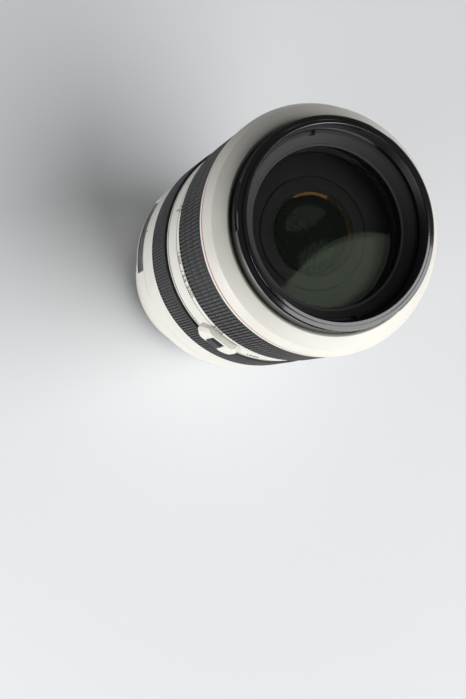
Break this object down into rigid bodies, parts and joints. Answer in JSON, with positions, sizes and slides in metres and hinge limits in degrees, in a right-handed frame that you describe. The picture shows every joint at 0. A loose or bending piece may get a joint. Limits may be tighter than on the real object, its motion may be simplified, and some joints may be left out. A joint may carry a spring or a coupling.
{
  "type": "camera zoom lens",
  "caption": "White telephoto zoom lens: a ribbed zoom ring drives an extending front barrel and lens groups; focus ring, distance window, switches and bayonet mount.",
  "frame": {"origin": "centre of the bayonet's rear end, where the lens stands", "axes": "+Z along the optical axis towards the front, -Y towards the distance window on top of the lens, -X towards the switch panel"},
  "size_m": [0.0899, 0.089, 0.1486],
  "materials": {
    "white_paint": "satin",
    "black_plastic": "satin",
    "grey_plastic": "satin",
    "black_rubber": "matte",
    "bright_chrome": "polished",
    "light_alloy": "satin",
    "black_alloy": "matte",
    "clear_glass": "polished",
    "red_paint": "gloss",
    "gold_plate": "polished",
    "board_green": "satin"
  },
  "bodies": {
    "body": {"mount_ring": "bright_chrome", "mount_screws": "bright_chrome", "mount_gasket": "black_rubber", "contact_block": "black_plastic", "contact_pins": "gold_plate", "rear_baffle": "black_plastic", "rear_cell": "black_alloy", "rear_element": "clear_glass", "chassis": "light_alloy", "circuit_board": "board_green", "motor_stator": "light_alloy", "rear_barrel": "white_paint", "distance_window": "clear_glass", "switch_panel": "white_paint", "mid_barrel": "white_paint", "band_barrel": "white_paint", "outer_tube": "black_alloy", "guide_tube": "black_alloy", "iris_base": "black_alloy", "iris_cover": "black_alloy", "stabiliser_base": "black_alloy"},
    "zoom": {"zoom_ring": "white_paint", "zoom_rubber": "black_rubber", "zoom_sleeve": "black_alloy", "zoom_key": "light_alloy", "cam_barrel": "light_alloy"},
    "front": {"front_barrel": "white_paint", "cam_rollers": "light_alloy", "front_ring": "white_paint", "red_ring": "red_paint", "hood_mount": "black_plastic", "front_cell": "black_plastic", "retaining_ring": "black_plastic", "front_element": "clear_glass", "second_element": "clear_glass"},
    "variator": {"variator_cell": "black_plastic", "variator_element": "clear_glass", "variator_followers": "light_alloy"},
    "iris_drive": {"iris_ring": "light_alloy"},
    "shift_frame": {"stabiliser_frame": "light_alloy"},
    "shift_cell": {"stabiliser_cell": "black_plastic", "stabiliser_element": "clear_glass"},
    "focus": {"focus_ring": "black_alloy", "focus_rubber": "black_rubber"},
    "scale_drum": {"distance_scale": "black_plastic"},
    "rotor": {"motor_rotor": "black_alloy"},
    "focus_group": {"focus_carriage": "black_plastic", "focus_element": "clear_glass"},
    "af_slider": {"af_switch": "grey_plastic"},
    "stabiliser_slider": {"stabiliser_switch": "grey_plastic"},
    "mode_slider": {"mode_switch": "grey_plastic"},
    "lock_slider": {"zoom_lock": "grey_plastic"},
    "blade_1": {"iris_blade_1": "black_alloy"},
    "blade_2": {"iris_blade_2": "black_alloy"},
    "blade_3": {"iris_blade_3": "black_alloy"},
    "blade_4": {"iris_blade_4": "black_alloy"},
    "blade_5": {"iris_blade_5": "black_alloy"},
    "blade_6": {"iris_blade_6": "black_alloy"},
    "blade_7": {"iris_blade_7": "black_alloy"},
    "blade_8": {"iris_blade_8": "black_alloy"}
  },
  "joints": [
    {"name": "zoom_turn", "type": "hinge", "parent": "body", "child": "zoom", "pos_m": [0, 0, 0.117], "axis": [0, 0, -1], "range_deg": [0, 65]},
    {"name": "front_slide", "type": "slide", "parent": "body", "child": "front", "axis": [0, 0, 1], "range_m": [0, 0.042]},
    {"name": "variator_slide", "type": "slide", "parent": "body", "child": "variator", "axis": [0, 0, -1], "range_m": [0, 0.008]},
    {"name": "focus_turn", "type": "hinge", "parent": "body", "child": "focus", "pos_m": [0, 0, 0.0805], "axis": [0, 0, -1], "range_deg": [0, 110]},
    {"name": "scale_turn", "type": "hinge", "parent": "body", "child": "scale_drum", "pos_m": [0, 0, 0.051], "axis": [0, 0, -1], "range_deg": [0, 66]},
    {"name": "rotor_turn", "type": "hinge", "parent": "body", "child": "rotor", "pos_m": [0, 0, 0.038], "axis": [0, 0, -1], "range_deg": [0, 99]},
    {"name": "focus_slide", "type": "slide", "parent": "body", "child": "focus_group", "axis": [0, 0, 1], "range_m": [0, 0.01]},
    {"name": "iris_turn", "type": "hinge", "parent": "body", "child": "iris_drive", "pos_m": [0, 0, 0.0948], "axis": [0, 0, 1], "range_deg": [0, 30]},
    {"name": "blade_1_turn", "type": "hinge", "parent": "body", "child": "blade_1", "pos_m": [0, -0.0255, 0.0925], "axis": [0, 0, 1], "range_deg": [0, 24]},
    {"name": "blade_2_turn", "type": "hinge", "parent": "body", "child": "blade_2", "pos_m": [0.01803, -0.01803, 0.0925], "axis": [0, 0, 1], "range_deg": [0, 24]},
    {"name": "blade_3_turn", "type": "hinge", "parent": "body", "child": "blade_3", "pos_m": [0.0255, 0, 0.0925], "axis": [0, 0, 1], "range_deg": [0, 24]},
    {"name": "blade_4_turn", "type": "hinge", "parent": "body", "child": "blade_4", "pos_m": [0.01803, 0.01803, 0.0925], "axis": [0, 0, 1], "range_deg": [0, 24]},
    {"name": "blade_5_turn", "type": "hinge", "parent": "body", "child": "blade_5", "pos_m": [0, 0.0255, 0.0925], "axis": [0, 0, 1], "range_deg": [0, 24]},
    {"name": "blade_6_turn", "type": "hinge", "parent": "body", "child": "blade_6", "pos_m": [-0.01803, 0.01803, 0.0925], "axis": [0, 0, 1], "range_deg": [0, 24]},
    {"name": "blade_7_turn", "type": "hinge", "parent": "body", "child": "blade_7", "pos_m": [-0.0255, 0, 0.0925], "axis": [0, 0, 1], "range_deg": [0, 24]},
    {"name": "blade_8_turn", "type": "hinge", "parent": "body", "child": "blade_8", "pos_m": [-0.01803, -0.01803, 0.0925], "axis": [0, 0, 1], "range_deg": [0, 24]},
    {"name": "shift_x", "type": "slide", "parent": "body", "child": "shift_frame", "axis": [1, 0, 0], "range_m": [-0.001, 0.001], "stiffness_N_per_m": 150},
    {"name": "shift_y", "type": "slide", "parent": "shift_frame", "child": "shift_cell", "axis": [0, 1, 0], "range_m": [-0.001, 0.001], "stiffness_N_per_m": 150},
    {"name": "af_slide", "type": "slide", "parent": "body", "child": "af_slider", "axis": [0, 0, 1], "range_m": [0, 0.003]},
    {"name": "stabiliser_slide", "type": "slide", "parent": "body", "child": "stabiliser_slider", "axis": [0, 0, 1], "range_m": [0, 0.003]},
    {"name": "mode_slide", "type": "slide", "parent": "body", "child": "mode_slider", "axis": [0, 0, 1], "range_m": [0, 0.003]},
    {"name": "lock_slide", "type": "slide", "parent": "body", "child": "lock_slider", "axis": [0, 0, 1], "range_m": [0, 0.003]}
  ],
  "couplings": [
    {"joint": "front_slide", "follows": "zoom_turn", "m_per_rad": 0.037021},
    {"joint": "variator_slide", "follows": "zoom_turn", "m_per_rad": 0.00705},
    {"joint": "scale_turn", "follows": "focus_turn", "ratio": 0.5999},
    {"joint": "rotor_turn", "follows": "focus_turn", "ratio": 0.8999},
    {"joint": "focus_slide", "follows": "focus_turn", "m_per_rad": 0.0052},
    {"joint": "blade_1_turn", "follows": "iris_turn", "ratio": 0.7995},
    {"joint": "blade_2_turn", "follows": "iris_turn", "ratio": 0.7995},
    {"joint": "blade_3_turn", "follows": "iris_turn", "ratio": 0.7995},
    {"joint": "blade_4_turn", "follows": "iris_turn", "ratio": 0.7995},
    {"joint": "blade_5_turn", "follows": "iris_turn", "ratio": 0.7995},
    {"joint": "blade_6_turn", "follows": "iris_turn", "ratio": 0.7995},
    {"joint": "blade_7_turn", "follows": "iris_turn", "ratio": 0.7995},
    {"joint": "blade_8_turn", "follows": "iris_turn", "ratio": 0.7995}
  ]
}
